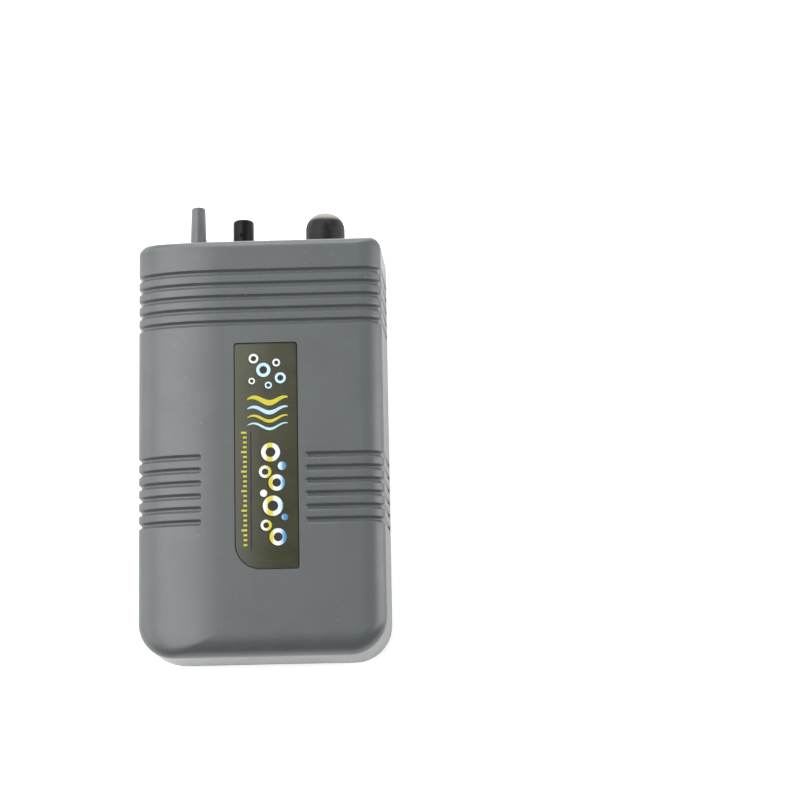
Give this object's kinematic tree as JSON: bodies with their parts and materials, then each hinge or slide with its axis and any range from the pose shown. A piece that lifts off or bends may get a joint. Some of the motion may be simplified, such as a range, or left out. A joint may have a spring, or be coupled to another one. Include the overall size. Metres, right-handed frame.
{
  "type": "battery air pump",
  "caption": "Pocket air pump for aquariums and bait buckets: flat moulded case, air nozzle, bleed knob, press button, battery bay and diaphragm pump inside.",
  "frame": {"origin": "on the plane of the case's back, which it rests on, midway between its sides and 58 mm below its nozzle end", "axes": "+X to the right of the front, +Y along the case towards the air nozzle, +Z out of the front"},
  "size_m": [0.0774, 0.1447, 0.04],
  "materials": {
    "case_plastic": "semi-gloss moulded grey",
    "label_film": "satin olive film",
    "knob_plastic": "gloss black",
    "soft_rubber": "matt black",
    "inner_plastic": "natural white",
    "steel": "zinc plated",
    "brass": "bright",
    "cell_jacket": "printed film over metal",
    "motor_metal": "plated can",
    "red_covering": "red wire covering",
    "dark_covering": "black wire covering",
    "filter_foam": "open foam"
  },
  "bodies": {
    "case": {"front_cover": "case_plastic", "rear_cover": "case_plastic", "label_plate": "label_film", "case_screw_1": "steel", "case_screw_2": "steel", "case_screw_3": "steel", "case_screw_4": "steel", "battery_cell_left": "cell_jacket", "battery_cell_right": "cell_jacket", "contact_plate_plus": "steel", "contact_plate_minus": "steel", "contact_spring_minus": "steel", "contact_link_plate": "steel", "contact_link_spring": "steel", "chassis": "inner_plastic", "chassis_screw_1": "steel", "chassis_screw_2": "steel", "motor_can": "motor_metal", "motor_end_cap": "inner_plastic", "motor_terminal_1": "brass", "motor_terminal_2": "brass", "motor_strap": "steel", "strap_screw_1": "steel", "strap_screw_2": "steel", "diaphragm": "soft_rubber", "valve_plate": "inner_plastic", "inlet_flap": "soft_rubber", "outlet_flap": "soft_rubber", "pump_head": "case_plastic", "head_screw_1": "steel", "head_screw_2": "steel", "head_screw_3": "steel", "head_screw_4": "steel", "bleed_seal": "soft_rubber", "switch_spring": "steel", "switch_body": "knob_plastic", "switch_terminal_1": "brass", "switch_terminal_2": "brass", "wire_cell_to_switch": "red_covering", "wire_switch_to_motor": "red_covering", "wire_motor_to_cell": "dark_covering", "inlet_filter": "filter_foam"},
    "button": {"power_button": "soft_rubber", "switch_plunger": "inner_plastic"},
    "knob": {"bleed_knob": "knob_plastic", "bleed_stem": "brass"},
    "door": {"battery_door": "case_plastic"},
    "rotor": {"motor_shaft": "steel", "crank_disc": "brass"},
    "rod": {"connecting_rod": "inner_plastic"}
  },
  "joints": [
    {"name": "button_press", "type": "slide", "parent": "case", "child": "button", "axis": [0, -1, 0], "range_m": [0, 0.002], "stiffness_N_per_m": 900, "springref_m": -0.001, "deforming": ["switch_spring"]},
    {"name": "knob_turn", "type": "hinge", "parent": "case", "child": "knob", "pos_m": [-0.0061, 0.058, 0.022], "axis": [0, 1, 0], "range_deg": [0, 270]},
    {"name": "door_slide", "type": "slide", "parent": "case", "child": "door", "axis": [0, -1, 0], "range_m": [0, 0.07]},
    {"name": "motor_spin", "type": "hinge", "parent": "case", "child": "rotor", "pos_m": [-0.016, 0.0185, 0.022], "axis": [1, 0, 0], "continuous": true},
    {"name": "rod_swing", "type": "hinge", "parent": "rotor", "child": "rod", "pos_m": [-0.0205, 0.02, 0.022], "axis": [1, 0, 0], "continuous": true}
  ],
  "couplings": [
    {"joint": "rod_swing", "follows": "motor_spin", "ratio": -1}
  ]
}
